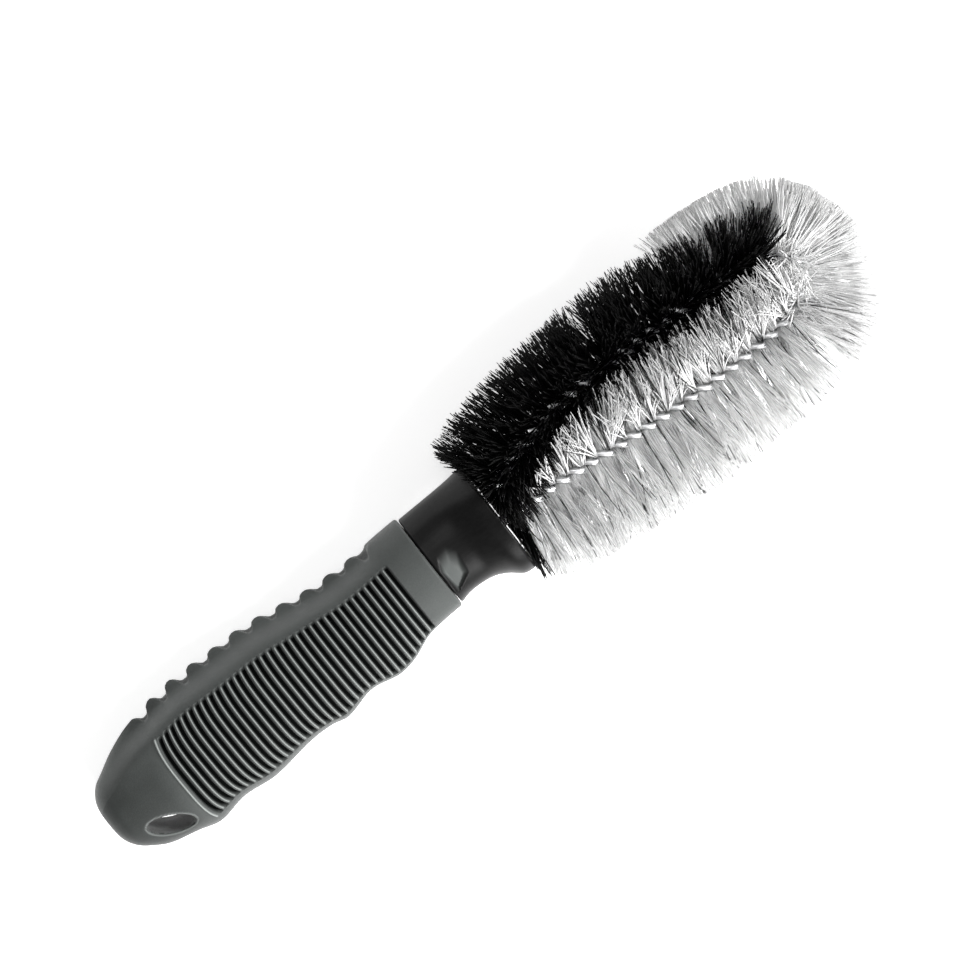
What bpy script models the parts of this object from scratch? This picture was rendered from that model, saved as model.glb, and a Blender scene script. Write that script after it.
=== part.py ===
"""Wheel brush: a twisted-wire loop brush in a soft-grip handle, lying on its side.

The brush is drawn in its own frame, in millimetres: x runs along the brush towards the tip, y
towards the notched spine of the grip, z towards one side, and zero is the middle of the grip's
front edge. The empty named brush turns that frame, so that the thick head and the butt of the
thinner grip both rest on the ground and the world's origin is under the middle of the brush.
"""

import math

import bmesh
import bpy
from mathutils import Matrix, Vector

MM = 0.001
GAP = 0.3  # between pieces that touch on the real brush

# How the brush lies: the rise of its axis towards the tip, and the grip's front edge in the world
REST_TILT = math.radians(3.73)
FRONT_EDGE = (-18.078, -0.028, 18.882)

# Grip: half outlines as (x, y), rib panels on both sides, and notches along the spine
BUTT, BUTT_ROUND, LIP_ROUND = -116.8, 5.0, 0.8
SPINE_LINE = ((-116.8, 7.1), (-110, 10.7), (-104, 14.1), (-98, 16.6), (-93.5, 17.8), (-85.5, 19.4),
              (-78.5, 20.1), (-63, 19.7), (-55.5, 19.6), (-48, 18.8), (-33, 16.2), (-25, 15.6),
              (-11, 15.4), (0, 15.6))
FINGER_LINE = ((-116.8, -11.2), (-113, -13.4), (-107, -17.2), (-98, -19.6), (-91.5, -21.4),
               (-82, -19.9), (-71.5, -20.9), (-57.5, -19.2), (-50, -19.4), (-45, -20.5),
               (-35, -18.4), (-26, -20.1), (-20, -19.2), (-13, -16.4), (-8, -15.7), (0, -15.3))
WIDTH_LINE = ((-116.8, 8.5), (-106, 11.0), (-92, 13.0), (-62, 14.2), (-31, 13.6), (0, 13.0))
OVAL_POWER = 2.25  # 2 is an ellipse, more is squarer, and less is more peaked
PEAK_LINE = ((-116.8, 2.25), (-106, 1.8), (-94, 1.05), (-75, 1.02), (-57, 1.1), (-17, 1.15),
             (-9, 2.1), (0, 2.25))
PEAK_ANGLES = (18, 52)  # degrees from the spine where the peaked spine starts to widen, and ends
NOTCH_FIRST, NOTCH_PITCH = -13.5, 7.64
NOTCH_DEPTHS = (2.3, 2.2, 2.2, 2.3, 2.4, 2.3, 2.3, 2.4, 3.2, 3.2, 2.9)  # from the front one back
NOTCH_SHAPE = ((-3.3, 0), (-2.2, 0.3), (-1.2, 0.78), (-0.5, 1), (0.7, 0.96), (1.3, 0.72),
               (1.9, 0.3), (3.2, 0))  # (x, share of the depth)
PANEL_FRONT, PANEL_REAR, PANEL_TOP = -9.4, -90.6, 51  # the top is in degrees from the spine
PANEL_FOOT_FRONT, PANEL_FOOT_REAR = 151, 142
PANEL_BOW, BOW_START, BOW_END = 1.8, -30.0, -107.0  # how far the ribs curve back, most at the rear
RIB_COUNT, RIB_DEPTH, RIB_SLOPE, GROOVE_SHARE = 35, 1.1, 0.12, 0.56
SLOT_MIDDLE, SLOT_LENGTH, SLOT_WIDTH, SLOT_TURN = (-102.5, -10.8), 14.2, 6.6, math.radians(-30)

# Core: one rigid moulding, with a tongue inside the grip and a neck that ends in a flared mouth
TONGUE_END, TONGUE_STEP, GRIP_WALL = -86.0, 10.0, 3.6
NECK_TOP = ((0, 14.7), (10, 15.0), (17.5, 15.1), (23.4, 15.6))
NECK_FOOT = ((0, -14.8), (4, -13.9), (8.6, -14.0), (12.6, -14.8), (16, -16.6), (19.2, -19.2),
             (22, -19.7), (23.4, -19.5))
NECK_SIDE = ((0, 12.8), (6, 12.0), (12, 12.2), (19, 15.2), (23.4, 16.2))
NECK_STATIONS = (GAP, 2, 4, 7, 10, 13, 16, 19, 21.5, 23)
MOUTH, MOUTH_FLOOR, MOUTH_WALL, MOUTH_EDGE = 23.4, 9.0, 1.8, 0.5
SOCKET_END, SOCKET_HEIGHT, SOCKET_WIDTH, SOCKET_POWER = -46.0, 9.5, 6.2, 5

# Wire loop: two strands twisted round one hairpin path, given as (x, y) from end to end
WIRE_RADIUS, TWIST_PITCH, TWIST_STEPS, WIRE_SIDES = 0.95, 9.6, 6, 6
WIRE_END, ARM_OFFSET = -40.0, 3.6
LOOP = ((WIRE_END, -ARM_OFFSET), (5, -ARM_OFFSET), (42, -5.0), (66, -7.8), (90, -9.6),
        (108, -9.9), (122, -8.9), (131, -4.6), (134.2, 1.2), (131, 7.4), (122, 10.8),
        (105, 12.1), (72, 13.0), (52, 12.0), (38, 8.6), (24, 4.6), (5, ARM_OFFSET),
        (WIRE_END, ARM_OFFSET))
CHANNEL_RADIUS, CHANNEL_SIDES, CHANNEL_STEP = 2.7, 8, 3.5

# Anchor plug in the socket, and the sleeves crimped on the wire ends behind it
PLUG_FRONT, PLUG_END = 6.0, -26.0
FERRULE_FRONT, FERRULE_END, FERRULE_RADIUS, FERRULE_SIDES = -28.0, -41.0, 3.3, 16

# Bristle head: the surface that the filament tips make, and where the two colours meet
HEAD_TOP = ((20, 25.0), (28, 28.2), (45, 31.0), (66, 33.0), (84, 34.4), (104, 34.4), (122, 33.2),
            (134, 30.6), (143, 25.4), (150, 15.6), (153, 7.0))
HEAD_FOOT = ((20, -23.5), (28, -26.8), (45, -31.0), (66, -33.0), (84, -34.4), (104, -34.2),
             (122, -32.6), (134, -29.8), (143, -24.8), (149, -14.0), (153, -1.0))
HEAD_SIDE = ((20, 17.5), (28, 20.5), (45, 23.0), (78, 24.0), (104, 24.0), (124, 23.0), (136, 20.0),
             (146, 14.0), (150, 9.5), (153, 4.0))
HEAD_STATIONS = (24.6, 28, 34, 45, 60, 78, 92, 104, 114, 124, 130, 136, 141, 146, 150, 153)
HEAD_COLUMNS = 32
COLOUR_LINE, BLACK_END, BLACK_ROOT_END = 0.0, 124.0, 31.0


def line_through(points, x):
    """The height at x of a smooth curve through (x, height) points in order of x."""
    last = len(points) - 1
    i = sum(1 for point in points[1:last] if x > point[0])

    def slope(k):
        before, after = points[max(k - 1, 0)], points[min(k + 1, last)]
        return (after[1] - before[1]) / (after[0] - before[0])

    (x0, y0), (x1, y1) = points[i], points[i + 1]
    h = x1 - x0
    t = min(max((x - x0) / h, 0), 1)
    bend_in, bend_out = (t**3 - 2 * t**2 + t) * slope(i), (t**3 - t**2) * slope(i + 1)
    return y0 + (3 * t**2 - 2 * t**3) * (y1 - y0) + h * (bend_in + bend_out)


def oval(x, middle, height, width, angles, power=OVAL_POWER):
    """Points round the brush at x, on an oval of half size height in y and width in z."""
    points = []
    for angle in angles:
        y, z = math.cos(angle), math.sin(angle)
        y, z = (math.copysign(abs(value) ** (2 / power), value) for value in (y, z))
        points.append(Vector((x, middle + height * y, width * z)))
    return points


def evenly(count, start=0.0):
    return [start + 2 * math.pi * k / count for k in range(count)]


def make_object(name, bm, material):
    """An object in the brush's frame. One with no material is a cutter and stays hidden."""
    bmesh.ops.recalc_face_normals(bm, faces=bm.faces)
    bmesh.ops.scale(bm, vec=(MM, MM, MM), verts=bm.verts)
    mesh = bpy.data.meshes.new(name)
    bm.to_mesh(mesh)
    bm.free()
    mesh.shade_smooth()
    mesh.set_sharp_from_angle(angle=math.radians(40))
    obj = bpy.data.objects.new(name, mesh)
    bpy.context.scene.collection.objects.link(obj)
    obj.parent = bpy.data.objects["brush"]
    if material:
        mesh.materials.append(material)
    else:
        obj.hide_render = True
        obj.display_type = "WIRE"
    return obj


def skinned(rings, ring_shaped=False):
    """A bmesh whose surface joins the rings in turn, and ends in a cap or back at the start."""
    bm = bmesh.new()
    loops = [[bm.verts.new(point) for point in points] for points in rings]
    pairs = list(zip(loops, loops[1:]))
    if ring_shaped:
        pairs.append((loops[-1], loops[0]))
    else:
        bm.faces.new(loops[0][::-1])
        bm.faces.new(loops[-1])
    for near, far in pairs:
        for k in range(len(near)):
            following = (k + 1) % len(near)
            bm.faces.new((near[k], near[following], far[following], far[k]))
    return bm


def boolean(obj, operation, *others):
    for other in others:
        modifier = obj.modifiers.new(f"{operation.lower()} {other.name}", "BOOLEAN")
        modifier.operation = operation
        modifier.object = other


def make_material(name, colour, roughness, metallic=0.0):
    material = bpy.data.materials.new(name)
    material.use_nodes = True
    shader = material.node_tree.nodes["Principled BSDF"]
    shader.inputs["Base Color"].default_value = (*colour, 1)
    shader.inputs["Roughness"].default_value = roughness
    shader.inputs["Metallic"].default_value = metallic
    return material


# Grip ---------------------------------------------------------------------------------------

def columns():
    """(zone, share across it, side) of each column of points round the grip, from the spine."""
    half = [("spine", 0.16), ("spine", 0.3), ("spine", 0.42), ("spine", 0.65), ("panel", 0),
            ("panel", 0.04), ("panel", 0.35), ("panel", 0.65), ("panel", 0.96), ("panel", 1),
            ("finger", 0.5)]
    far_side = [(zone, share, -1) for zone, share in reversed(half)]
    return [("spine", 0, 1), *((*column, 1) for column in half), ("finger", 1, 1), *far_side]


def along_panel(x):
    """0 at the rear end of the rib panels and 1 at their front end."""
    return min(max((x - PANEL_REAR) / (PANEL_FRONT - PANEL_REAR), 0), 1)


def column_angle(column, x):
    zone, share, side = column
    foot = PANEL_FOOT_REAR + (PANEL_FOOT_FRONT - PANEL_FOOT_REAR) * along_panel(x)
    start, end = {"spine": (0, PANEL_TOP), "panel": (PANEL_TOP, foot), "finger": (foot, 180)}[zone]
    return side * math.radians(start + (end - start) * share)


def column_angles(x):
    return [column_angle(column, x) for column in columns()]


def rib_bow(column, x):
    """How far a point of a side panel lies behind its ring, which gives the ribs their curve."""
    zone, share, _ = column
    if zone != "panel":
        return 0
    rise, fall = (BOW_START - x) / (BOW_START - PANEL_REAR), (x - BOW_END) / (PANEL_REAR - BOW_END)
    return PANEL_BOW * max(min(rise, fall), 0) * (1 - abs(2 * share - 1) ** 3)


def spine_power(x, angle):
    """The oval's power at a point: peaked along the spine, and as elsewhere from the panels down."""
    start, end = PEAK_ANGLES
    share = min(max((abs(math.degrees(angle)) - start) / (end - start), 0), 1)
    peak = line_through(PEAK_LINE, x)
    return peak + (OVAL_POWER - peak) * share * share * (3 - 2 * share)


def notch_depth(x):
    """How far the spine is cut down at x by the nearest of its notches."""
    index = min(max(round((NOTCH_FIRST - x) / NOTCH_PITCH), 0), len(NOTCH_DEPTHS) - 1)
    away = x - NOTCH_FIRST + index * NOTCH_PITCH
    share = 0
    for (x_from, low), (x_to, high) in zip(NOTCH_SHAPE, NOTCH_SHAPE[1:]):
        if x_from <= away <= x_to:
            share = low + (high - low) * (away - x_from) / (x_to - x_from)
    return NOTCH_DEPTHS[index] * share


def grip_oval(x):
    """Middle, half height and half width of the grip, rounded off at the butt and the lip."""
    top, foot = line_through(SPINE_LINE, x), line_through(FINGER_LINE, x)
    shrink = 0
    for end, radius in ((BUTT, BUTT_ROUND), (0, LIP_ROUND)):
        inside = max(radius - abs(x - end), 0)
        shrink += radius - math.sqrt(radius**2 - inside**2)
    return (top + foot) / 2, (top - foot) / 2 - shrink, line_through(WIDTH_LINE, x) - shrink


def grip_ring(x, groove):
    """One ring of the grip's outside, with its side panels sunk by groove and its spine notched."""
    points = []
    for column in columns():
        zone, share, _ = column
        angle, at = column_angle(column, x), x - rib_bow(column, x)
        middle, height, width = grip_oval(at)
        sink = groove if zone == "panel" and 0 < share < 1 else 0
        power = spine_power(at, angle)
        point = oval(at, middle, height - sink, width - sink, [angle], power)[0]
        point.y = min(point.y, middle + height - notch_depth(at))
        points.append(point)
    return points


def grip_stations():
    """(x, groove depth) of the grip's rings from its lip to its butt, four for each rib."""
    quarter = math.pi / 2
    lip = [(-LIP_ROUND * (1 - math.cos(quarter * k / 3)), 0) for k in range(4)]
    pitch = (PANEL_FRONT - PANEL_REAR) / RIB_COUNT
    ribs = []
    for k in range(RIB_COUNT):
        front, back = PANEL_FRONT - k * pitch, PANEL_FRONT - (k + GROOVE_SHARE) * pitch
        ribs += [(front, 0), (front - RIB_SLOPE * pitch, RIB_DEPTH), (back, RIB_DEPTH),
                 (back - RIB_SLOPE * pitch, 0)]
    rear = [(x, 0) for x in (PANEL_REAR, -92.4, -95, -98, -101, -104, -107, -110)]
    butt = [(BUTT + BUTT_ROUND * (1 - math.cos(quarter * k / 6)), 0) for k in range(6, -1, -1)]
    return [*lip, (-5, 0), *ribs, *rear, *butt]


def tongue_ring(x, clearance=0.0):
    """One ring of the core's tongue, or of the grip's hollow when there is a clearance."""
    middle, height, width = grip_oval(min(x, -LIP_ROUND))
    inset = GRIP_WALL - clearance
    return oval(x, middle, height - inset, width - inset, column_angles(x))


def tongue_stations(start, end):
    count = round((start - end) / TONGUE_STEP)
    return [start + (end - start) * k / count for k in range(count + 1)]


def slot_outline(z):
    """The hanging slot's outline, an ellipse that leans towards the finger side."""
    lean, points = Matrix.Rotation(SLOT_TURN, 2), []
    for angle in evenly(20):
        across = Vector((SLOT_LENGTH * math.cos(angle), SLOT_WIDTH * math.sin(angle))) / 2
        points.append((Vector(SLOT_MIDDLE) + lean @ across).to_3d() + Vector((0, 0, z)))
    return points


def make_grip():
    rubber = make_material("soft_grey_grip", (0.085, 0.09, 0.088), 0.6)
    outside = [grip_ring(x, groove) for x, groove in reversed(grip_stations())]
    hollow = [tongue_ring(x, GAP) for x in tongue_stations(0, TONGUE_END - GAP)]
    grip = make_object("grip_sleeve", skinned(outside + hollow), rubber)
    past = 1.5 * max(width for _, width in WIDTH_LINE)
    cutter = make_object("slot_cutter", skinned([slot_outline(-past), slot_outline(past)]), None)
    boolean(grip, "DIFFERENCE", cutter)


# Core, plug and ferrules --------------------------------------------------------------------

def neck_ring(x, inset=0.0):
    top, foot = line_through(NECK_TOP, x), line_through(NECK_FOOT, x)
    width = line_through(NECK_SIDE, x)
    return oval(x, (top + foot) / 2, (top - foot) / 2 - inset, width - inset, column_angles(0))


def socket_ring(x, inset=0.0):
    return oval(x, 0, SOCKET_HEIGHT - inset, SOCKET_WIDTH - inset, column_angles(0), SOCKET_POWER)


def make_core():
    plastic = make_material("black_plastic", (0.012, 0.012, 0.012), 0.38)
    tongue = [tongue_ring(x) for x in reversed(tongue_stations(GAP, TONGUE_END))]
    neck = [neck_ring(x) for x in NECK_STATIONS]
    mouth = [neck_ring(MOUTH, MOUTH_EDGE), neck_ring(MOUTH, MOUTH_WALL - MOUTH_EDGE)]
    mouth += [neck_ring(x, MOUTH_WALL) for x in (MOUTH - MOUTH_EDGE, 17, 13, MOUTH_FLOOR)]
    socket = [socket_ring(MOUTH_FLOOR), socket_ring(SOCKET_END)]
    make_object("handle_core", skinned(tongue + neck + mouth + socket), plastic)


def tube(radii, x_from, x_to, y):
    """A straight round tube along x: outer and inner radius, from x to x, at height y."""
    outer, inner = radii
    rings = []
    for x, radius in ((x_from, outer), (x_to, outer), (x_to, inner), (x_from, inner)):
        rings.append(oval(x, y, radius, radius, evenly(FERRULE_SIDES), 2))
    return skinned(rings, ring_shaped=True)


def make_anchor():
    plastic = make_material("white_plug_plastic", (0.55, 0.55, 0.52), 0.5)
    steel = make_material("crimped_steel", (0.45, 0.45, 0.46), 0.35, 1.0)
    plug = make_object("anchor_plug", skinned([socket_ring(x, GAP) for x in (PLUG_FRONT, PLUG_END)]),
                       plastic)
    for arm, y in (("white", -ARM_OFFSET), ("black", ARM_OFFSET)):
        bore = [oval(x, y, CHANNEL_RADIUS, CHANNEL_RADIUS, evenly(FERRULE_SIDES), 2)
                for x in (PLUG_FRONT + 2, PLUG_END - 2)]
        boolean(plug, "DIFFERENCE", make_object(f"plug_bore_cutter_{arm}", skinned(bore), None))
        ferrule = tube((FERRULE_RADIUS, CHANNEL_RADIUS), FERRULE_FRONT, FERRULE_END, y)
        make_object(f"end_ferrule_{arm}_arm", ferrule, steel)


# Wire loop ----------------------------------------------------------------------------------

def smooth_loop():
    """Close-set points along a smooth curve through the loop's points."""
    knots = [Vector((x, y, 0)) for x, y in LOOP]
    fine = []
    for k in range(len(knots) - 1):
        before, start, end, after = (knots[min(max(k + i, 0), len(knots) - 1)] for i in (-1, 0, 1, 2))
        span = (end - start).length
        lead_in = (end - before) / max((start - before).length + span, span) * span
        lead_out = (after - start) / max((after - end).length + span, span) * span
        for i in range(24):
            t = i / 24
            fine.append((2 * t**3 - 3 * t**2 + 1) * start + (t**3 - 2 * t**2 + t) * lead_in
                        + (3 * t**2 - 2 * t**3) * end + (t**3 - t**2) * lead_out)
    return fine + [knots[-1]]


def spaced_path(step):
    """Points and directions every step or so along the loop."""
    fine = smooth_loop()
    run = [0.0]
    for here, there in zip(fine, fine[1:]):
        run.append(run[-1] + (there - here).length)
    count = round(run[-1] / step)
    path, i = [], 0
    for k in range(count + 1):
        goal = run[-1] * k / count
        while i < len(run) - 2 and run[i + 1] < goal:
            i += 1
        share = (goal - run[i]) / (run[i + 1] - run[i])
        path.append((fine[i].lerp(fine[i + 1], share), (fine[i + 1] - fine[i]).normalized()))
    return path


def round_at(centre, direction, radius, sides):
    """A circle of points round a direction that may lean out of the loop's plane."""
    across = direction.cross(Vector((0, 0, 1))).normalized()
    up = across.cross(direction)
    return [centre + radius * (math.cos(a) * across + math.sin(a) * up) for a in evenly(sides)]


def strand_rings(phase):
    """Rings of one wire strand, which winds round the path beside the other strand."""
    reach = WIRE_RADIUS + GAP / 2
    path = spaced_path(TWIST_PITCH / TWIST_STEPS)
    centres = []
    for k, (point, direction) in enumerate(path):
        turn = phase - 2 * math.pi * k / TWIST_STEPS
        across = direction.cross(Vector((0, 0, 1)))
        centres.append(point + reach * (math.cos(turn) * across + Vector((0, 0, math.sin(turn)))))
    rings = []
    for k, centre in enumerate(centres):
        direction = centres[min(k + 1, len(centres) - 1)] - centres[max(k - 1, 0)]
        rings.append(round_at(centre, direction.normalized(), WIRE_RADIUS, WIRE_SIDES))
    return rings


def make_wire():
    steel = make_material("galvanised_wire", (0.5, 0.5, 0.5), 0.35, 1.0)
    make_object("wire_strand_a", skinned(strand_rings(0)), steel)
    make_object("wire_strand_b", skinned(strand_rings(math.pi)), steel)


# Bristles -----------------------------------------------------------------------------------

def ground_in_brush():
    """A point of the ground and the direction down to it, in the brush's frame."""
    turn = Matrix.Rotation(REST_TILT, 3, "Y")
    return turn @ -Vector(FRONT_EDGE), turn @ Vector((0, 0, -1))


def head_solid(x_from, x_to, y_from, y_to):
    """The head between two x and two y limits, flattened where it rests on the ground."""
    rings = []
    for x in HEAD_STATIONS:
        top, foot = line_through(HEAD_TOP, x), line_through(HEAD_FOOT, x)
        rings.append(oval(x, (top + foot) / 2, (top - foot) / 2, line_through(HEAD_SIDE, x),
                          evenly(HEAD_COLUMNS, math.pi / HEAD_COLUMNS)))
    bm = skinned(rings)
    bmesh.ops.recalc_face_normals(bm, faces=bm.faces)
    ground, down = ground_in_brush()
    planes = [(ground, down)]
    planes += [(Vector((x, 0, 0)), Vector((side, 0, 0))) for x, side in ((x_from, -1), (x_to, 1))]
    planes += [(Vector((0, y, 0)), Vector((0, side, 0))) for y, side in ((y_from, -1), (y_to, 1))]
    for point, outward in planes:
        everything = bm.verts[:] + bm.edges[:] + bm.faces[:]
        cut = bmesh.ops.bisect_plane(bm, geom=everything, plane_co=point, plane_no=outward,
                                     clear_outer=True)
        edges = [item for item in cut["geom_cut"] if isinstance(item, bmesh.types.BMEdge)]
        if edges:
            bmesh.ops.contextual_create(bm, geom=edges)
    return bm


def make_bristles():
    white = make_material("white_filament", (0.8, 0.8, 0.8), 0.5)
    black = make_material("black_filament", (0.01, 0.01, 0.01), 0.4)
    start, end, wide, half = HEAD_STATIONS[0], HEAD_STATIONS[-1] + 1, 100, GAP / 2
    below, above = COLOUR_LINE - half, COLOUR_LINE + half
    packs = (("white_arm_bristles", white, (BLACK_ROOT_END + half, BLACK_END - half, -wide, below)),
             ("white_bend_bristles", white, (BLACK_END + half, end, -wide, wide)),
             ("black_arm_bristles", black, (start, BLACK_END - half, above, wide)),
             ("black_root_bristles", black, (start, BLACK_ROOT_END - half, -wide, below)))
    channel = make_object("wire_channel_cutter", skinned([
        round_at(point, direction, CHANNEL_RADIUS, CHANNEL_SIDES)
        for point, direction in spaced_path(CHANNEL_STEP)]), None)
    for name, material, box in packs:
        boolean(make_object(name, head_solid(*box), material), "DIFFERENCE", channel)


def main():
    for obj in list(bpy.data.objects):
        bpy.data.objects.remove(obj)
    brush = bpy.data.objects.new("brush", None)
    brush.location = Vector(FRONT_EDGE) * MM
    brush.rotation_euler = (0, -REST_TILT, 0)
    bpy.context.scene.collection.objects.link(brush)
    make_grip()
    make_core()
    make_anchor()
    make_wire()
    make_bristles()


main()
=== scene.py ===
"""Looks of the wheel brush: every filament, the twisted wires, the soft grip and the neck.

Like the CAD script, it draws the brush in its own frame in millimetres: x towards the tip, y
towards the grip's notched spine, z towards one side, zero at the middle of the grip's front edge.
"""

import math

import bpy
import numpy as np
from mathutils import Matrix, Vector


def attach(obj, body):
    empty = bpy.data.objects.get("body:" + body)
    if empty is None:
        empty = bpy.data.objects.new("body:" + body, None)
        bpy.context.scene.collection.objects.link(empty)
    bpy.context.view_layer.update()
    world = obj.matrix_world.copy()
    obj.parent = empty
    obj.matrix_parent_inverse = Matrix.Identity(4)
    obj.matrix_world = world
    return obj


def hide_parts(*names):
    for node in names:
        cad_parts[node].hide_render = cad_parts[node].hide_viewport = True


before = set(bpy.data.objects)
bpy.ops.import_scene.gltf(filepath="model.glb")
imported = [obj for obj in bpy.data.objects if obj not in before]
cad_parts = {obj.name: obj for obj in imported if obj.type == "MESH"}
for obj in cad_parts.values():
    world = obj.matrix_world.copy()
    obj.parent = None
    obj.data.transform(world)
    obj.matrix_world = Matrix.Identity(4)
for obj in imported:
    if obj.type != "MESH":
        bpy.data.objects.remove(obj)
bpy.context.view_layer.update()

MM = 0.001
GAP = 0.3
REST_TILT = math.radians(3.73)
FRONT_EDGE = (-18.078, -0.028, 18.882)
SEED = 20

# Outlines, as in the CAD script, but the slot, the ribs' grooves, the mouth's edge and the head's
# section differ from it a little. The bead behind the ribs isn't in the CAD.
BUTT, BUTT_ROUND, LIP_ROUND = -116.8, 5.0, 0.8
SPINE_LINE = ((-116.8, 7.1), (-110, 10.7), (-104, 14.1), (-98, 16.6), (-93.5, 17.8), (-85.5, 19.4),
              (-78.5, 20.1), (-63, 19.7), (-55.5, 19.6), (-48, 18.8), (-33, 16.2), (-25, 15.6),
              (-11, 15.4), (0, 15.6))
FINGER_LINE = ((-116.8, -11.2), (-113, -13.4), (-107, -17.2), (-98, -19.6), (-91.5, -21.4),
               (-82, -19.9), (-71.5, -20.9), (-57.5, -19.2), (-50, -19.4), (-45, -20.5),
               (-35, -18.4), (-26, -20.1), (-20, -19.2), (-13, -16.4), (-8, -15.7), (0, -15.3))
WIDTH_LINE = ((-116.8, 8.5), (-106, 11.0), (-92, 13.0), (-62, 14.2), (-31, 13.6), (0, 13.0))
OVAL_POWER = 2.25
PEAK_LINE = ((-116.8, 2.25), (-106, 1.8), (-94, 1.05), (-75, 1.02), (-57, 1.1), (-17, 1.15),
             (-9, 2.1), (0, 2.25))
PEAK_ANGLES = (18, 52)
NOTCH_FIRST, NOTCH_PITCH = -13.5, 7.64
NOTCH_DEPTHS = (2.3, 2.2, 2.2, 2.3, 2.4, 2.3, 2.3, 2.4, 3.2, 3.2, 2.9)
NOTCH_SHAPE = ((-3.3, 0), (-2.2, 0.3), (-1.2, 0.78), (-0.5, 1), (0.7, 0.96), (1.3, 0.72),
               (1.9, 0.3), (3.2, 0))
PANEL_FRONT, PANEL_REAR, PANEL_TOP = -9.4, -90.6, 51
PANEL_FOOT_FRONT, PANEL_FOOT_REAR = 151, 142
PANEL_BOW, BOW_START, BOW_END = 1.8, -30.0, -107.0
RIB_COUNT, RIB_DEPTH, GROOVE_HALF = 35, 1.25, 0.78
BEAD_BEHIND, BEAD_WIDTH, BEAD_HEIGHT = 0.55, 0.5, 0.4
SLOT_MIDDLE, SLOT_LENGTH, SLOT_WIDTH, SLOT_TURN = (-102.5, -10.8), 14.0, 6.0, math.radians(-30)
SLOT_FILLET = 0.9
TONGUE_END, GRIP_WALL = -86.0, 3.6
NECK_TOP = ((0, 14.7), (10, 15.0), (17.5, 15.1), (23.4, 15.6))
NECK_FOOT = ((0, -14.8), (4, -13.9), (8.6, -14.0), (12.6, -14.8), (16, -16.6), (19.2, -19.2),
             (22, -19.7), (23.4, -19.5))
NECK_SIDE = ((0, 12.8), (6, 12.0), (12, 12.2), (19, 15.2), (23.4, 16.2))
MOUTH, MOUTH_FLOOR, MOUTH_WALL, MOUTH_EDGE = 23.4, 9.0, 1.8, 0.9
SOCKET_END, SOCKET_HEIGHT, SOCKET_WIDTH, SOCKET_POWER = -46.0, 9.5, 6.2, 5
WIRE_RADIUS, TWIST_PITCH = 0.95, 9.6
WIRE_END, ARM_OFFSET = -40.0, 3.6
LOOP = ((WIRE_END, -ARM_OFFSET), (5, -ARM_OFFSET), (42, -5.0), (66, -7.8), (90, -9.6),
        (108, -9.9), (122, -8.9), (131, -4.6), (134.2, 1.2), (131, 7.4), (122, 10.8),
        (105, 12.1), (72, 13.0), (52, 12.0), (38, 8.6), (24, 4.6), (5, ARM_OFFSET),
        (WIRE_END, ARM_OFFSET))
HEAD_TOP = ((20, 25.0), (28, 28.2), (45, 31.0), (66, 33.0), (84, 34.4), (104, 34.4), (122, 33.2),
            (134, 30.6), (143, 25.4), (150, 15.6), (153, 7.0))
HEAD_FOOT = ((20, -23.5), (28, -26.8), (45, -31.0), (66, -33.0), (84, -34.4), (104, -34.2),
             (122, -32.6), (134, -29.8), (143, -24.8), (149, -14.0), (153, -1.0))
HEAD_SIDE = ((20, 17.5), (28, 20.5), (45, 23.0), (78, 24.0), (104, 24.0), (124, 23.0), (136, 20.0),
             (146, 14.0), (150, 9.5), (153, 4.0))
HEAD_POWER = 2.3

TO_WORLD = (Matrix.Translation(Vector(FRONT_EDGE) * MM) @ Matrix.Rotation(-REST_TILT, 4, "Y")
            @ Matrix.Scale(MM, 4))
SLOPE = math.sin(REST_TILT), math.cos(REST_TILT)  # a point's height is x and z along these


# Shared shape tools -------------------------------------------------------------------------

def line_through(points, x):
    """Heights at x, an array, of a smooth curve through (x, height) points in order of x."""
    at, height = (np.array(values, float) for values in zip(*points))
    slope = np.empty(len(at))
    slope[1:-1] = (height[2:] - height[:-2]) / (at[2:] - at[:-2])
    slope[0] = (height[1] - height[0]) / (at[1] - at[0])
    slope[-1] = (height[-1] - height[-2]) / (at[-1] - at[-2])
    x = np.clip(x, at[0], at[-1])
    i = np.clip(np.searchsorted(at, x) - 1, 0, len(at) - 2)
    h = at[i + 1] - at[i]
    t = (x - at[i]) / h
    bends = (t**3 - 2 * t**2 + t) * slope[i] + (t**3 - t**2) * slope[i + 1]
    return height[i] + (3 * t**2 - 2 * t**3) * (height[i + 1] - height[i]) + h * bends


def smoothstep(low, high, value):
    t = np.clip((value - low) / (high - low), 0, 1)
    return t * t * (3 - 2 * t)


def oval(x, middle, height, width, angle, power=OVAL_POWER):
    """Points round the brush at x; all arguments may be arrays of one shape."""
    y, z = np.cos(angle), np.sin(angle)
    y, z = (np.sign(v) * np.abs(v) ** (2 / power) for v in (y, z))
    return np.stack(np.broadcast_arrays(x, middle + height * y, width * z), axis=-1)


def mesh_object(name, points, faces, material, attributes=()):
    """A piece from points in the brush's frame and faces with the same number of corners each."""
    mesh = bpy.data.meshes.new(name)
    points, faces = np.asarray(points, float).reshape(-1, 3), np.asarray(faces, np.int32)
    count, corners = faces.shape
    mesh.vertices.add(len(points))
    mesh.vertices.foreach_set("co", points.astype(np.float32).ravel())
    mesh.loops.add(faces.size)
    mesh.loops.foreach_set("vertex_index", faces.ravel())
    mesh.polygons.add(count)
    mesh.polygons.foreach_set("loop_start", np.arange(0, faces.size, corners, dtype=np.int32))
    for label, values in attributes:
        attribute = mesh.attributes.new(label, "FLOAT", "POINT")
        attribute.data.foreach_set("value", values.astype(np.float32).ravel())
    mesh.update(calc_edges=True)
    mesh.transform(TO_WORLD)
    mesh.shade_smooth()
    mesh.materials.append(material)
    obj = bpy.data.objects.new(name, mesh)
    bpy.context.scene.collection.objects.link(obj)
    return obj


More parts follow.
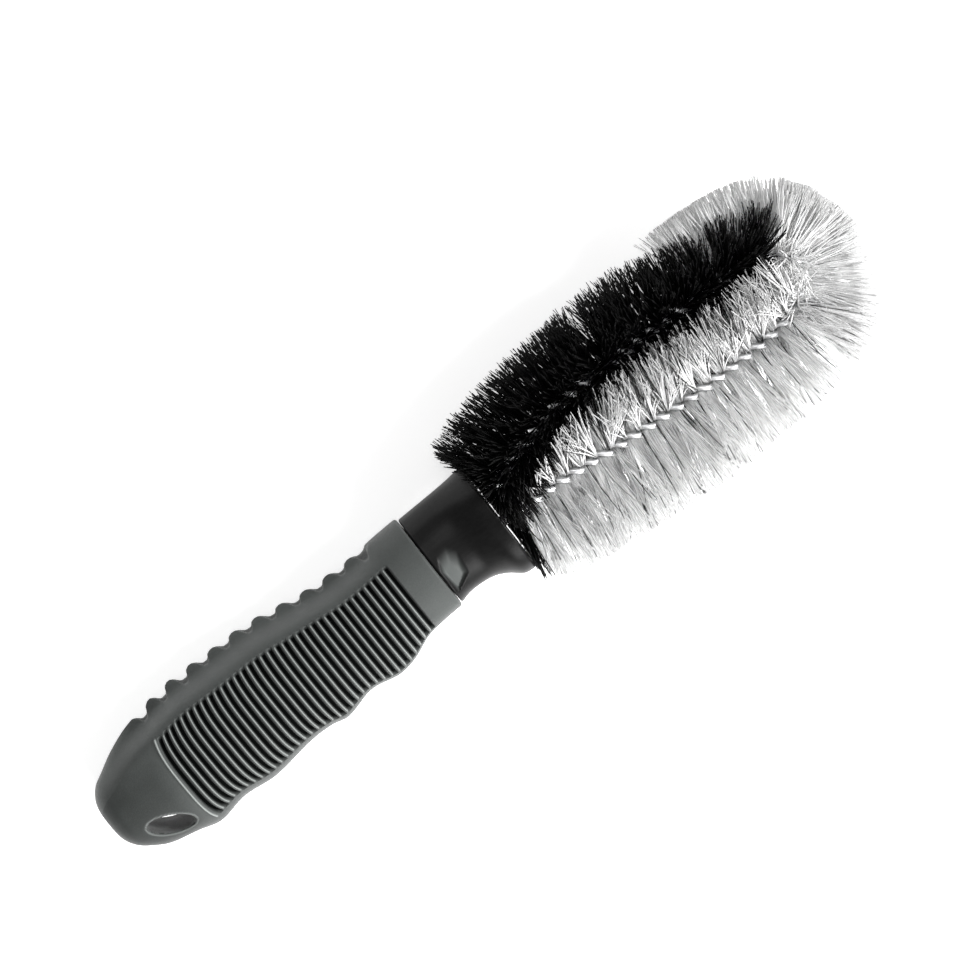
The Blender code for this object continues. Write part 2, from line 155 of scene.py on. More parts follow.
def grid_faces(rows, columns, wrap_rows=False):
    """Quads between rings of points: rows rings of columns points, each ring closed."""
    r = np.arange(rows if wrap_rows else rows - 1)[:, None]
    c = np.arange(columns)[None, :]
    following, beyond = (c + 1) % columns, (r + 1) % rows
    corners = [r * columns + c, r * columns + following, beyond * columns + following, beyond * columns + c]
    return np.stack(np.broadcast_arrays(*corners), axis=-1).reshape(-1, 4)


def capped(points, faces, rows, columns):
    """The same grid with a fan of quads at each end, closed on the middle of the end ring."""
    points = points.reshape(-1, 3)
    ends = [points[:columns].mean(0), points[-columns:].mean(0)]
    k = np.arange(0, columns, 2)
    first, last = len(points), len(points) + 1
    start = np.stack([np.full_like(k, first), (k + 2) % columns, k + 1, k], axis=-1)
    base = (rows - 1) * columns
    finish = np.stack([np.full_like(k, last), base + k, base + k + 1, base + (k + 2) % columns], axis=-1)
    return np.concatenate([points, ends]), np.concatenate([faces, start, finish])


def finished(piece, slot, *nodes):
    """Rides the piece on the brush, and has it stand for its CAD nodes."""
    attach(piece, "root")
    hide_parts(*nodes)
    return piece


# Materials ----------------------------------------------------------------------------------

class Nodes:
    """A material under construction: its Principled shader and short calls that add nodes."""

    def __init__(self, name, **values):
        self.material = bpy.data.materials.new(name)
        self.material.use_nodes = True
        self.tree = self.material.node_tree
        self.shader = self.tree.nodes["Principled BSDF"]
        for label, value in values.items():
            self.shader.inputs[label.replace("_", " ")].default_value = value
        self.place = self.add("ShaderNodeTexCoord").outputs["Object"]

    def add(self, kind, **settings):
        node = self.tree.nodes.new(kind)
        for label, value in settings.items():
            setattr(node, label, value)
        return node

    def put(self, value, socket):
        if isinstance(value, bpy.types.NodeSocket):
            self.tree.links.new(value, socket)
        else:
            socket.default_value = value

    def noise(self, scale, detail=3.0, stretch=(1, 1, 1), rough=0.5):
        """Noise with about scale features a metre, stretched along the axes."""
        mapping = self.add("ShaderNodeMapping")
        mapping.inputs["Scale"].default_value = stretch
        self.put(self.place, mapping.inputs["Vector"])
        node = self.add("ShaderNodeTexNoise")
        self.put(mapping.outputs[0], node.inputs["Vector"])
        node.inputs["Scale"].default_value = scale
        node.inputs["Detail"].default_value = detail
        node.inputs["Roughness"].default_value = rough
        return node.outputs["Fac"]

    def math(self, operation, *values):
        node = self.add("ShaderNodeMath", operation=operation)
        for value, socket in zip(values, node.inputs):
            self.put(value, socket)
        return node.outputs[0]

    def ramp(self, value, *stops):
        """Colours at positions, as (position, colour)."""
        node = self.add("ShaderNodeValToRGB")
        self.put(value, node.inputs[0])
        elements = node.color_ramp.elements
        while len(elements) < len(stops):
            elements.new(1)
        for element, (position, colour) in zip(elements, stops):
            element.position = position
            element.color = (*colour, 1) if isinstance(colour, tuple) else (colour, colour, colour, 1)
        return node.outputs["Color"]

    def mix(self, share, a, b, blend="MIX"):
        node = self.add("ShaderNodeMix", data_type="RGBA", blend_type=blend)
        node.clamp_factor = True
        for value, socket in ((share, node.inputs[0]), (a, node.inputs[6]), (b, node.inputs[7])):
            self.put(value, socket)
        return node.outputs[2]

    def attribute(self, label):
        return self.add("ShaderNodeAttribute", attribute_name=label).outputs["Fac"]

    def range(self, value, low, high):
        node = self.add("ShaderNodeMapRange")
        self.put(value, node.inputs["Value"])
        node.clamp = True
        node.inputs["To Min"].default_value = low
        node.inputs["To Max"].default_value = high
        return node.outputs["Result"]

    def bump(self, height, distance, strength=1.0):
        node = self.add("ShaderNodeBump")
        node.inputs["Distance"].default_value = distance
        node.inputs["Strength"].default_value = strength
        self.put(height, node.inputs["Height"])
        self.put(node.outputs["Normal"], self.shader.inputs["Normal"])

    def colour(self, value):
        self.put(value, self.shader.inputs["Base Color"])

    def roughness(self, value):
        self.put(value, self.shader.inputs["Roughness"])


def grip_material():
    m = Nodes("soft_grip_rubber", Roughness=0.6, Sheen_Roughness=0.4)
    cloud = m.noise(90, 4)
    grain = m.noise(2600, 4, rough=0.7)
    body = m.ramp(cloud, (0.3, (0.0315, 0.0348, 0.0334)), (0.7, (0.040, 0.0441, 0.0423)))
    specks = m.ramp(grain, (0.35, 0.88), (0.65, 1.08))
    body = m.mix(1.0, body, specks, "MULTIPLY")
    groove = m.attribute("groove")
    # Where the groove value is under 0 the colour is lightened as a painted highlight, and where it is over 0
    # it is darkened as painted shade
    body = m.mix(m.math("MULTIPLY", groove, -0.7), body, (0.3, 0.32, 0.31, 1))
    m.colour(m.mix(groove, body, (0.0012, 0.0015, 0.0014, 1)))
    m.roughness(m.range(cloud, 0.5, 0.66))
    m.put(m.range(groove, 0.22, 0.0), m.shader.inputs["Specular IOR Level"])
    m.put(m.range(groove, 0.16, 0.0), m.shader.inputs["Sheen Weight"])
    m.bump(grain, 0.00006)
    return m.material


def core_material():
    m = Nodes("satin_black_plastic", Roughness=0.36, Specular_IOR_Level=0.09)
    cloud = m.noise(60, 3)
    grain = m.noise(3200, 3)
    scuffs = m.noise(260, 5, stretch=(0.25, 3, 3), rough=0.7)
    dish = m.attribute("dish")
    body = m.ramp(scuffs, (0.35, 0.0035), (0.75, 0.006))
    # Painted highlight: the thumb hollow's colour is lighter where light catches it
    m.colour(m.mix(m.math("MULTIPLY", dish, 0.95), body, (0.066, 0.071, 0.069, 1)))
    m.roughness(m.range(m.math("ADD", cloud, m.math("MULTIPLY", scuffs, 0.4)), 0.28, 0.42))
    m.bump(m.math("ADD", grain, m.math("MULTIPLY", scuffs, 0.6)), 0.00003)
    return m.material


def wire_material():
    m = Nodes("galvanised_wire", Metallic=1.0, Roughness=0.34)
    spangle = m.noise(700, 4, rough=0.65)
    streaks = m.noise(900, 3, stretch=(0.2, 2, 2))
    m.colour(m.ramp(spangle, (0.3, (0.62, 0.63, 0.64)), (0.7, (0.84, 0.84, 0.84))))
    m.roughness(m.range(streaks, 0.36, 0.58))
    m.bump(streaks, 0.00004)
    return m.material


def ferrule_material():
    m = Nodes("crimped_steel", Metallic=1.0, Roughness=0.34)
    marks = m.noise(500, 4, stretch=(3, 0.4, 0.4))
    m.colour(m.ramp(marks, (0.3, 0.3), (0.7, 0.5)))
    m.roughness(m.range(marks, 0.28, 0.5))
    m.bump(marks, 0.00005)
    return m.material


def plug_material():
    m = Nodes("plug_plastic", Roughness=0.5)
    cloud = m.noise(300, 4)
    m.colour(m.ramp(cloud, (0.3, (0.50, 0.50, 0.47)), (0.7, (0.60, 0.60, 0.57))))
    m.roughness(m.range(cloud, 0.42, 0.6))
    m.bump(m.noise(1800, 3), 0.00004)
    return m.material


def filament_material(name, root, tip, rough, shine):
    """Nylon filament: colours vary from one to the next, towards the tip, and in spots; the white one's
    darker tips are painted shade. A filament whose tone is under 0.1 is painted dark, as shade in a gap among
    the others."""
    m = Nodes(name, Roughness=rough)
    m.shader.inputs["Specular IOR Level"].default_value = shine
    body = m.ramp(m.attribute("along"), (0.0, root), (0.6, root), (1.0, tip))
    tone = m.ramp(m.attribute("tone"), (0.0, 0.03), (0.1, 0.08), (0.11, 0.8), (1.0, 1.08))
    spots = m.ramp(m.noise(1500, 2), (0.3, 0.92), (0.7, 1.05))
    m.colour(m.mix(1.0, m.mix(1.0, body, tone, "MULTIPLY"), spots, "MULTIPLY"))
    m.roughness(m.range(m.attribute("tone"), rough - 0.08, rough + 0.1))
    return m.material


def floor_material():
    m = Nodes("white_sweep", Roughness=0.7, Emission_Color=(1, 1, 1, 1), Emission_Strength=0.56)
    m.colour(m.ramp(m.noise(6, 2), (0.3, 0.86), (0.7, 0.88)))
    return m.material


# Grip ---------------------------------------------------------------------------------------

ROWS_PER_RIB, SPINE_COLUMNS, PANEL_COLUMNS, FINGER_COLUMNS = 12, 24, 52, 10
SLOT_RINGS = (-24, -7.5, -5, -2.5, 0, 2.5, 5, 7.5, 24)  # heights; the outer two clear the grip
FLOOR_CLEAR = 0.01  # the underside's points are held this far above the floor
BUTT_SHADE_SPAN = (-93.5, -99)  # between these the skin behind the ribs goes darker
# How far painted highlight lightens the ribs' front edges, painted shade darkens the notches' floors
# and the skin behind the ribs, painted highlight lightens the slot's rim and painted shade darkens its walls
RIB_EDGE_HIGHLIGHT, NOTCH_SHADE, BUTT_SHADE, RIM_HIGHLIGHT, SLOT_SHADE = 0.9, 0.6, 0.28, 0.55, 0.93


def along_panel(x):
    return np.clip((x - PANEL_REAR) / (PANEL_FRONT - PANEL_REAR), 0, 1)


def grip_columns():
    """Zone, share across the zone, and side of each column, from the spine right round."""
    zones = [(0, k / SPINE_COLUMNS) for k in range(SPINE_COLUMNS)]
    zones += [(1, k / PANEL_COLUMNS) for k in range(PANEL_COLUMNS)]
    zones += [(2, k / FINGER_COLUMNS) for k in range(FINGER_COLUMNS)]
    columns = [(*zone, 1) for zone in zones] + [(2, 1.0, 1)]
    columns += [(*zone, -1) for zone in reversed(zones[1:])]
    return (np.array(values, float) for values in zip(*columns))


def grip_oval(x):
    top, foot = line_through(SPINE_LINE, x), line_through(FINGER_LINE, x)
    shrink = 0
    for end, radius in ((BUTT, BUTT_ROUND), (0, LIP_ROUND)):
        inside = np.clip(radius - np.abs(x - end), 0, radius)
        shrink = shrink + radius - np.sqrt(radius**2 - inside**2)
    return (top + foot) / 2, (top - foot) / 2 - shrink, line_through(WIDTH_LINE, x) - shrink


def grip_rows():
    quarter = np.pi / 2
    lip = -LIP_ROUND * (1 - np.cos(np.linspace(0, quarter, 7)))
    front = np.linspace(-1.4, PANEL_FRONT + 0.4, 16)
    ribs = np.linspace(PANEL_FRONT, PANEL_REAR, RIB_COUNT * ROWS_PER_RIB + 1)
    bead = np.linspace(PANEL_REAR - 0.15, PANEL_REAR - 2.4, 16)
    rear = np.linspace(PANEL_REAR - 2.8, BUTT + BUTT_ROUND + 0.4, 42)
    butt = BUTT + BUTT_ROUND * (1 - np.cos(np.linspace(quarter, 0, 16)))
    return np.concatenate([lip, front, ribs, bead, rear, butt])


def groove_depth(x, share, reach):
    """0 on a rib to 1 in a groove, whose ends are round, and the highlight painted on the rib's front edge.

    reach is the panel's width in mm.
    """
    pitch = (PANEL_FRONT - PANEL_REAR) / RIB_COUNT
    index = np.clip(np.round((PANEL_FRONT - x) / pitch - 0.5), 0, RIB_COUNT - 1)
    off = PANEL_FRONT - (index + 0.5) * pitch - x
    past_end = np.maximum(0, GROOVE_HALF - np.minimum(share, 1 - share) * reach)
    inside = GROOVE_HALF - np.hypot(off, past_end)
    behind = (off > 0) & (past_end < 0.1) & (index < RIB_COUNT - 1)
    # Painted highlight along the rib's front edge, where the light catches it
    rib_edge_highlight = RIB_EDGE_HIGHLIGHT * smoothstep(0.26, 0.0, np.abs(inside + 0.12)) * behind
    return smoothstep(-0.1, 0.4, inside), rib_edge_highlight


def spine_power(x, degrees):
    share = smoothstep(*PEAK_ANGLES, np.abs(degrees))
    peak = line_through(PEAK_LINE, x)
    return peak + (OVAL_POWER - peak) * share


def notch_depth(x):
    """How far the spine is cut down at x by the nearest of its notches."""
    index = np.clip(np.round((NOTCH_FIRST - x) / NOTCH_PITCH), 0, len(NOTCH_DEPTHS) - 1).astype(int)
    away = x - NOTCH_FIRST + index * NOTCH_PITCH
    return np.array(NOTCH_DEPTHS)[index] * np.clip(line_through(NOTCH_SHAPE, away), 0, 1)


def panel_bow(x, share):
    """How far the panel's points lie behind their ring, which gives the ribs their curve."""
    rise, fall = (BOW_START - x) / (BOW_START - PANEL_REAR), (x - BOW_END) / (PANEL_REAR - BOW_END)
    return PANEL_BOW * np.clip(np.minimum(rise, fall), 0, 1) * (1 - np.abs(2 * share - 1) ** 3)


def edge_bead(x):
    """1 on the thin raised line round the rear edge of the panel."""
    return smoothstep(BEAD_WIDTH, 0, np.abs(x - PANEL_REAR + BEAD_BEHIND))


def slot_distance(x, y):
    """Distance in mm outside the hanging slot's outline, seen from the side."""
    dx, dy = x - SLOT_MIDDLE[0], y - SLOT_MIDDLE[1]
    cos, sin = math.cos(SLOT_TURN), math.sin(SLOT_TURN)
    along, across = 2 * (dx * cos + dy * sin) / SLOT_LENGTH, 2 * (dy * cos - dx * sin) / SLOT_WIDTH
    far = np.hypot(along, across) + 1e-6
    return (far - 1) * far / np.hypot(2 * along / SLOT_LENGTH, 2 * across / SLOT_WIDTH + 1e-6)


def grip_surface():
    """The grip's outer points, with the shade painted into the material's colour: 1 in a groove, and
    under 0, where a highlight is painted, on the bead, on the front edges of the ribs and on the slot's rim."""
    zone, share, side = grip_columns()
    x = grip_rows()[:, None]
    foot = PANEL_FOOT_REAR + (PANEL_FOOT_FRONT - PANEL_FOOT_REAR) * along_panel(x)
    start = np.choose(zone.astype(int), [np.zeros_like(foot), np.full_like(foot, PANEL_TOP), foot])
    end = np.choose(zone.astype(int), [np.full_like(foot, PANEL_TOP), foot, np.full_like(foot, 180)])
    degrees = start + (end - start) * share
    on_panel = zone == 1
    at = x - panel_bow(x, share) * on_panel
    middle, height, width = grip_oval(at)
    reach = np.radians(foot - PANEL_TOP) * (height + width) / 2
    on_ribs = on_panel * ((x <= PANEL_FRONT) & (x >= PANEL_REAR))
    # The groove depth also darkens the colour there, as painted shade in the grooves
    groove, rib_edge_highlight = (values * on_ribs for values in groove_depth(x, share, reach))
    # The bead raises the surface here and also gets a painted highlight in the returned shade
    bead = edge_bead(x) * on_panel
    rise = BEAD_HEIGHT * bead - RIB_DEPTH * groove
    angle = np.radians(degrees) * side
    points = oval(at, middle, height + rise, width + rise, angle, spine_power(at, degrees))
    uncut = points[..., 1].copy()
    points[..., 1] = np.minimum(uncut, np.where(zone == 0, middle + height - notch_depth(at), np.inf))
    # Painted shade on the notches' floors, darker where the spine is cut deeper
    floor = NOTCH_SHADE * smoothstep(0.3, 1.4, uncut - points[..., 1])
    inside = np.clip(SLOT_FILLET - slot_distance(points[..., 0], points[..., 1]), 0, SLOT_FILLET)
    drop = SLOT_FILLET - np.sqrt(SLOT_FILLET**2 - inside**2)
    points[..., 2] -= np.sign(points[..., 2]) * drop
    ground = (FLOOR_CLEAR - FRONT_EDGE[2] - points[..., 0] * SLOPE[0]) / SLOPE[1]
    points[..., 2] = np.maximum(points[..., 2], ground)
    # Painted highlight on the slot's rounded rim
    rim = RIM_HIGHLIGHT * smoothstep(0.5, 0.1, np.abs(inside - SLOT_FILLET / 2))
    # Painted shade on the skin behind the ribs, towards the butt
    butt_shade = BUTT_SHADE * smoothstep(*BUTT_SHADE_SPAN, at) * smoothstep(9, 3, points[..., 1]) * (zone > 0)
    return points, np.maximum(groove, floor) + butt_shade - np.maximum(np.maximum(bead, rib_edge_highlight), rim)


def tongue_surface(stations, columns, clearance):
    x = np.array(stations, float)[:, None]
    middle, height, width = grip_oval(np.minimum(x, -LIP_ROUND))
    inset = GRIP_WALL - clearance
    angle = np.linspace(0, 2 * np.pi, columns, endpoint=False)
    return oval(x, middle, height - inset, width - inset, angle)


def slot_cutter(material):
    """A solid through the grip that leaves the hanging slot, whose walls get painted shade."""
    angle = np.linspace(0, 2 * np.pi, 64, endpoint=False)
    along, across = SLOT_LENGTH / 2 * np.cos(angle), SLOT_WIDTH / 2 * np.sin(angle)
    cos, sin = math.cos(SLOT_TURN), math.sin(SLOT_TURN)
    outline = np.stack([SLOT_MIDDLE[0] + along * cos - across * sin,
                        SLOT_MIDDLE[1] + along * sin + across * cos], axis=-1)
    rings = np.stack([np.column_stack([outline, np.full(len(outline), z)]) for z in SLOT_RINGS])
    points, faces = capped(rings, grid_faces(len(rings), len(outline)), len(rings), len(outline))
    # Painted shade on the slot's walls
    shade = np.full(len(points), SLOT_SHADE)
    return mesh_object("slot_cutter", points, faces, material, [("groove", shade)])


def make_grip(material):
    outside, groove = grip_surface()
    columns = outside.shape[1]
    hollow = tongue_surface([0, -1, -8, -16, -26, -36, -46, -56, -66, -76, TONGUE_END - GAP], columns, GAP)
    points = np.concatenate([outside[::-1], hollow])
    shade = np.concatenate([groove[::-1].ravel(), np.zeros(hollow[..., 0].size + 2)])
    points, faces = capped(points, grid_faces(len(points), columns), len(points), columns)
    grip = mesh_object("grip_rubber", points, faces[:, ::-1], material, [("groove", shade)])
    cutter = slot_cutter(material)
    cut = grip.modifiers.new("slot", "BOOLEAN")
    cut.object, cut.operation, cut.solver = cutter, "DIFFERENCE", "EXACT"
    graph = bpy.context.evaluated_depsgraph_get()
    mesh = bpy.data.meshes.new_from_object(grip.evaluated_get(graph), preserve_all_data_layers=True,
                                           depsgraph=graph)
    grip.modifiers.clear()
    grip.data = mesh
    mesh.set_sharp_from_angle(angle=math.radians(45))
    bpy.data.objects.remove(cutter)
    return finished(grip, "soft_grip", "grip_sleeve")


# Core ---------------------------------------------------------------------------------------

CORE_COLUMNS = 160
# Thumb hollow: corners as (x, y) in order, and the depth; it slopes in from the first edges and
# ends in steep walls along the last ones
HOLLOW = ((0.9, -0.5), (2.8, 3.6), (6.6, 4.6), (8.4, 1.6), (7.6, -6.0), (1.6, -9.6))
HOLLOW_REACH = (2.0, 6.0, 6.0, 2.2, 0.8, 0.8)
HOLLOW_DEPTH = 1.3


def neck_surface(stations, inset=0.0):
    x = np.array(stations, float)[:, None]
    top, foot = line_through(NECK_TOP, x), line_through(NECK_FOOT, x)
    angle = np.linspace(0, 2 * np.pi, CORE_COLUMNS, endpoint=False)
    return oval(x, (top + foot) / 2, (top - foot) / 2 - inset, line_through(NECK_SIDE, x) - inset, angle)


def hollow_share(x, y):
    """How much of the thumb hollow's depth it has at a point, seen from the side."""
    share = np.ones_like(x)
    for (x1, y1), (x2, y2), reach in zip(HOLLOW, HOLLOW[1:] + HOLLOW[:1], HOLLOW_REACH):
        inside = ((x - x1) * (y1 - y2) + (y - y1) * (x2 - x1)) / math.hypot(x2 - x1, y2 - y1)
        share = np.minimum(share, smoothstep(0, reach, -inside))
    return share


def make_core(material):
    tongue = tongue_surface([TONGUE_END, *range(-80, 0, 8), GAP], CORE_COLUMNS, 0)
    shoulder = neck_surface([GAP, GAP + 0.2, GAP + 0.5], 0.5)
    shoulder[1] = neck_surface([GAP + 0.2], 0.15)[0]
    shoulder[2] = neck_surface([GAP + 0.5], 0.0)[0]
    neck = neck_surface(np.linspace(1, MOUTH - MOUTH_EDGE, 70))
    dish = hollow_share(neck[..., 0], neck[..., 1])
    neck[..., 2] -= np.sign(neck[..., 2]) * HOLLOW_DEPTH * dish
    turn = np.linspace(0, np.pi, 11)
    rim = [neck_surface([MOUTH - MOUTH_EDGE + MOUTH_EDGE * math.sin(a)], MOUTH_EDGE * (1 - math.cos(a)))[0]
           for a in turn]
    inside = neck_surface(np.linspace(MOUTH - 1.4, MOUTH_FLOOR, 16), MOUTH_WALL)
    angle = np.linspace(0, 2 * np.pi, CORE_COLUMNS, endpoint=False)
    ends = np.array([MOUTH_FLOOR, SOCKET_END])[:, None]
    socket = oval(ends, 0, SOCKET_HEIGHT, SOCKET_WIDTH, angle, SOCKET_POWER)
    points = np.concatenate([tongue, shoulder, neck, np.stack(rim), inside, socket])
    before, after = len(tongue) + len(shoulder), len(rim) + len(inside) + len(socket)
    # The thumb hollow's painted highlight
    dish_highlight = np.concatenate([np.zeros(before * CORE_COLUMNS), dish.ravel(), np.zeros(after * CORE_COLUMNS + 2)])
    points, faces = capped(points, grid_faces(len(points), CORE_COLUMNS), len(points), CORE_COLUMNS)
    core = mesh_object("neck_moulding", points, faces[:, ::-1], material, [("dish", dish_highlight)])
    core.data.set_sharp_from_angle(angle=math.radians(50))
    return finished(core, "rigid_core", "handle_core")


# Wire loop ----------------------------------------------------------------------------------

LOOP_STEP = 0.4


def loop_path():
    """Runs from the loop's start, LOOP_STEP apart, and the points and directions at them."""
    knots = np.array(LOOP, float)
    before = np.vstack([knots[:1], knots[:-1]])
    after = np.vstack([knots[1:], knots[-1:]])
    reach = np.linalg.norm(np.diff(knots, axis=0), axis=1)
    span = np.concatenate([[0], reach]) + np.concatenate([reach, [0]])
    tangent = (after - before) / span[:, None]
    t = np.linspace(0, 1, 64, endpoint=False)[None, :, None]
    start, end, h = knots[:-1, None], knots[1:, None], reach[:, None, None]
    fine = ((2 * t**3 - 3 * t**2 + 1) * start + (t**3 - 2 * t**2 + t) * h * tangent[:-1, None]
            + (3 * t**2 - 2 * t**3) * end + (t**3 - t**2) * h * tangent[1:, None])
    fine = np.vstack([fine.reshape(-1, 2), knots[-1:]])
    run = np.concatenate([[0], np.cumsum(np.linalg.norm(np.diff(fine, axis=0), axis=1))])
    at = np.linspace(0, run[-1], round(run[-1] / LOOP_STEP) + 1)
    x, y = (np.interp(at, run, fine[:, k]) for k in (0, 1))
    points = np.stack([x, y, np.zeros_like(at)], axis=-1)
    direction = np.gradient(points, axis=0)
    return at, points, direction / np.linalg.norm(direction, axis=1, keepdims=True)


def outward(direction):
    """The direction in the loop's plane that points out of the loop."""
    return np.cross(direction, [0, 0, 1])


def tube(path, radius, sides):
    """Points and faces of a round tube along a path of points."""
    direction = np.gradient(path, axis=0)
    direction /= np.linalg.norm(direction, axis=1, keepdims=True)
    across = np.cross(direction, [0, 0, 1])
    across /= np.linalg.norm(across, axis=1, keepdims=True)
    up = np.cross(across, direction)
    a = np.linspace(0, 2 * np.pi, sides, endpoint=False)[None, :, None]
    points = path[:, None] + radius * (np.cos(a) * across[:, None] + np.sin(a) * up[:, None])
    return capped(points, grid_faces(len(path), sides), len(path), sides)


def make_wires(material):
    run, points, direction = loop_path()
    reach = WIRE_RADIUS + GAP / 2
    for letter, phase in (("a", 0), ("b", np.pi)):
        turn = (phase - 2 * np.pi * run / TWIST_PITCH)[:, None]
        centre = points + reach * (np.cos(turn) * outward(direction) + np.sin(turn) * np.array([0, 0, 1.0]))
        strand = mesh_object(f"strand_{letter}", *tube(centre, WIRE_RADIUS, 12), material)
        strand.data.set_sharp_from_angle(angle=math.radians(50))
        finished(strand, "wire", f"wire_strand_{letter}")


# Filaments ----------------------------------------------------------------------------------

STEP, STEPS, SEGMENTS, SIDES = 1.0, 30, 4, 3
FILAMENT_RADIUS = 0.2
# In the heart of the fan: ridges, points from root to tip, and ridges that round off each end
FAN_ROWS, FAN_STEPS, FAN_ROUND = 560, 22, 24
# The x that filaments stay in front of by the neck's mouth, and how near its axis that holds
RIM_CLEAR, RIM_REACH = 23.9, 20.0
# How far a filament reaches into the other colour, as mean and spread, and the steps it is free for
MINGLE, FREE_STEPS = (0.6, 1.3), 4
# White arm filaments, where dark ones are painted shade in the gaps: the share inside the loop that is
# dark, the tone of the others there, darkened as painted shade, and what is added to the tone outside the
# loop, where about one in fifteen is dark
INNER_DARK, INNER_TONE, OUTER_LIFT = 0.2, 0.7, 0.04
# Where the colours meet at the height of the wires as (x, y); above and below, it leans over the
# black. The black filaments end towards the tip at a line with this slant through the corner.
PARTING = ((24, -9.5), (33, -8), (41, -2.5), (50, 1.5), (60, 3.5), (76, 6), (93, 5), (108, 4.2), (125, 4.5))
PARTING_LEAN = 0.5
BLACK_CORNER, BLACK_SLANT, BLACK_TIP = (126.0, 9.8), 1.8, 139.0


def envelope(p):
    """Under 1 inside the head's trimmed outer surface."""
    top, foot = line_through(HEAD_TOP, p[..., 0]), line_through(HEAD_FOOT, p[..., 0])
    side = line_through(HEAD_SIDE, p[..., 0])
    y = np.abs(p[..., 1] - (top + foot) / 2) / ((top - foot) / 2)
    ends = np.maximum(p[..., 0] - HEAD_TOP[-1][0], 0)
    return y**HEAD_POWER + (np.abs(p[..., 2]) / side) ** HEAD_POWER + ends


def into_black(p):
    """How far points lie inside the black filaments' share of the head, in mm."""
    across = p[..., 1] - line_through(PARTING, p[..., 0]) - PARTING_LEAN * np.abs(p[..., 2])
    end = np.minimum(BLACK_CORNER[0] + BLACK_SLANT * (p[..., 1] - BLACK_CORNER[1]), BLACK_TIP)
    return np.minimum(across, np.maximum(end, BLACK_CORNER[0] - 4) - p[..., 0])


def grow(rng, base, direction, limit, bend, side, ragged):
    """Walks every filament outwards and returns its path. It bends, lies on the ground, and ends
    at its length, at the trimmed surface, or where the filaments of the other colour press."""
    count = len(base)
    p, d = base.copy(), direction.copy()
    path = [p.copy()]
    for _ in range(STEPS):
        d = d + bend
        d /= np.linalg.norm(d, axis=1, keepdims=True)
        p = p + d * STEP
        near_neck = np.hypot(p[:, 1] + 2, p[:, 2]) < RIM_REACH
        p[:, 0] = np.where(near_neck, np.maximum(p[:, 0], RIM_CLEAR), p[:, 0])
        ground = FILAMENT_RADIUS - FRONT_EDGE[2] - p[:, 0] * SLOPE[0]
        p[:, 2] = np.maximum(p[:, 2], ground / SLOPE[1])
        path.append(p.copy())
    path = np.stack(path, axis=1)
    outside = envelope(path) > rng.uniform(1 - ragged, 1 + ragged / 3, count)[:, None]
    if side:
        slack = rng.normal(*MINGLE, count)[:, None]
        past = side * into_black(path) > slack
        outside |= past & (np.arange(STEPS + 1) > FREE_STEPS)
    first = np.where(outside.any(1), outside.argmax(1), STEPS) * STEP
    length = np.minimum(limit, first)
    at = np.linspace(0, 1, SEGMENTS + 1)[None] * length[:, None]
    index = np.clip((at / STEP).astype(int), 0, STEPS - 1)
    share = (at / STEP - index)[..., None]
    rows = np.arange(count)[:, None]
    return path[rows, index] * (1 - share) + path[rows, index + 1] * share


def filament_mesh(name, paths, tone, material):
    """Thin three-sided hairs along the paths, tapered to the tip, with their tone and run."""
    count = len(paths)
    direction = np.gradient(paths, axis=1)
    direction /= np.linalg.norm(direction, axis=2, keepdims=True) + 1e-9
    helper = np.where(np.abs(direction[..., 2:]) < 0.9, [0.0, 0.0, 1.0], [1.0, 0.0, 0.0])
    across = np.cross(direction, helper)
    across /= np.linalg.norm(across, axis=2, keepdims=True)
    up = np.cross(across, direction)
    along = np.linspace(0, 1, SEGMENTS + 1)
    radius = FILAMENT_RADIUS * (1 - 0.35 * along**4)
    a = np.linspace(0, 2 * np.pi, SIDES, endpoint=False)
    ring = np.cos(a)[:, None] * across[:, :, None] + np.sin(a)[:, None] * up[:, :, None]
    points = paths[:, :, None] + radius[None, :, None, None] * ring
    sides = grid_faces(SEGMENTS + 1, SIDES)
    triangles = np.concatenate([sides[:, [0, 1, 2]], sides[:, [0, 2, 3]],
                                [[SEGMENTS * SIDES + k for k in (0, 1, 2)]], [[2, 1, 0]]])
    per = (SEGMENTS + 1) * SIDES
    faces = (np.arange(count)[:, None, None] * per + triangles[None]).reshape(-1, 3)
    tones = np.repeat(tone, per)
    runs = np.tile(np.repeat(along, SIDES), count)
    return mesh_object(name, points, faces, material, [("tone", tones), ("along", runs)])


